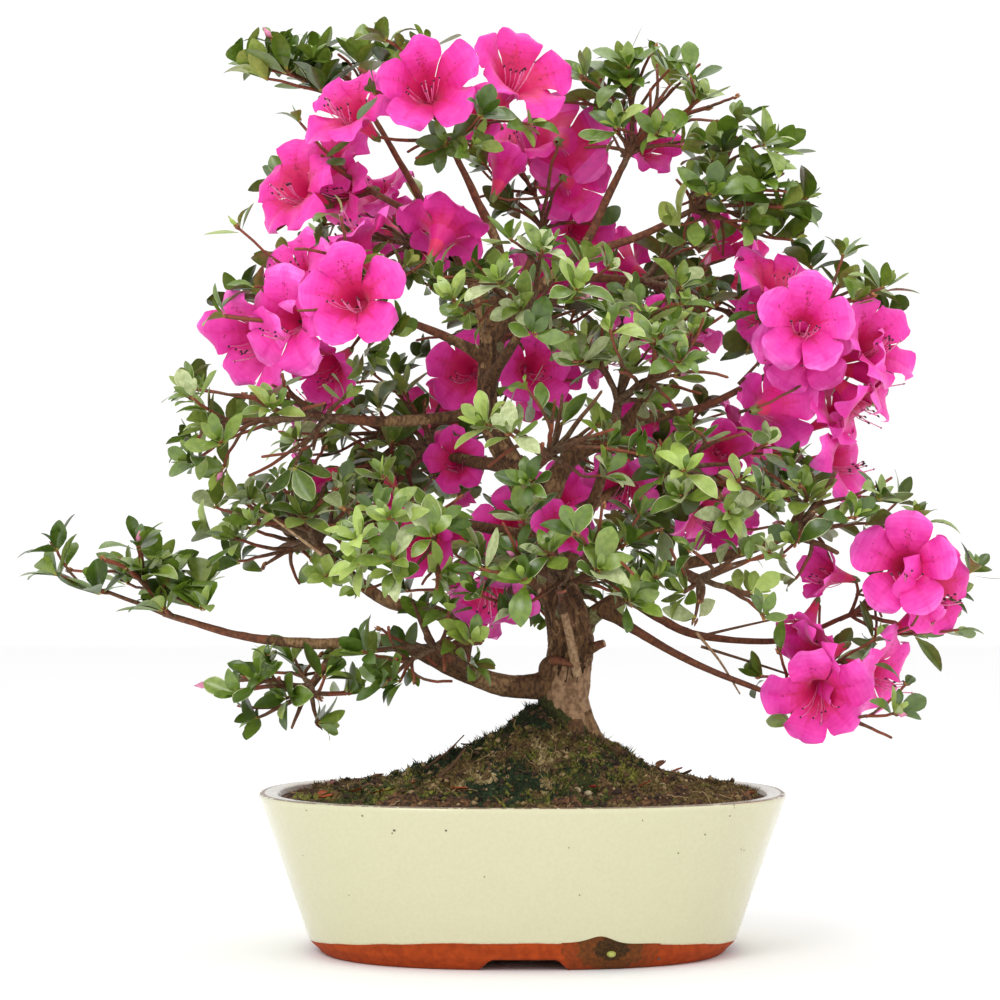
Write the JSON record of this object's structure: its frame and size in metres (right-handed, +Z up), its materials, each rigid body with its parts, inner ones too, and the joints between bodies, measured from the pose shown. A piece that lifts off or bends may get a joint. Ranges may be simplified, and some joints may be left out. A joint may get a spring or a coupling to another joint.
{
  "type": "potted japanese azalea bonsai",
  "caption": "Flowering azalea bonsai: a leaning tapered trunk, a long low branch and an open crown of leaf whorls and funnel blooms, in a flared oval glazed pot with clay feet.",
  "frame": {"origin": "on the ground under the middle of the whole plant's footprint; the pot's feet stand on Z = 0", "axes": "+X to the right as the picture shows it, +Y away from the viewer, +Z up"},
  "size_m": [0.5308, 0.2956, 0.5168],
  "materials": {
    "glazed_pot": "gloss",
    "soil_and_moss": "matte",
    "bark": "matte",
    "foliage": "satin"
  },
  "bodies": {
    "root": {"arch_foliage": "foliage", "back_left_bough": "bark", "back_left_foliage": "foliage", "back_low_foliage": "foliage", "back_right_bough": "bark", "back_right_foliage": "foliage", "back_top_bough": "bark", "back_top_foliage": "foliage", "back_upper_left_bough": "bark", "back_upper_left_foliage": "foliage", "back_upper_right_bough": "bark", "back_upper_right_foliage": "foliage", "centre_upper_bough": "bark", "centre_upper_foliage": "foliage", "far_left_foliage": "foliage", "far_right_foliage": "foliage", "front_left_bough": "bark", "front_left_foliage": "foliage", "front_low_foliage": "foliage", "front_low_left_bough": "bark", "front_low_left_foliage": "foliage", "front_mid_foliage": "foliage", "front_right_bough": "bark", "front_right_foliage": "foliage", "front_upper_foliage": "foliage", "hanging_foliage": "foliage", "left_arch_bough": "bark", "left_flower_foliage": "foliage", "left_mid_bough": "bark", "left_upper_bough": "bark", "low_left_bough": "bark", "mid_left_foliage": "foliage", "pot": "glazed_pot", "right_centre_foliage": "foliage", "right_flower_bough": "bark", "right_flower_foliage": "foliage", "right_front_bough": "bark", "right_front_foliage": "foliage", "right_hanging_bough": "bark", "right_low_bough": "bark", "right_low_foliage": "foliage", "right_main_bough": "bark", "right_thin_bough": "bark", "right_upper_foliage": "foliage", "right_upright_bough": "bark", "soil_mound": "soil_and_moss", "top_bough": "bark", "top_flower_foliage": "foliage", "top_left_bough": "bark", "top_right_bough": "bark", "top_right_foliage": "foliage", "top_tip_bough": "bark", "top_tip_foliage": "foliage", "trunk": "bark", "under_left_bough": "bark", "under_left_foliage": "foliage", "upper_left_foliage": "foliage", "upper_right_bough": "bark", "upper_right_foliage": "foliage"}
  },
  "joints": []
}
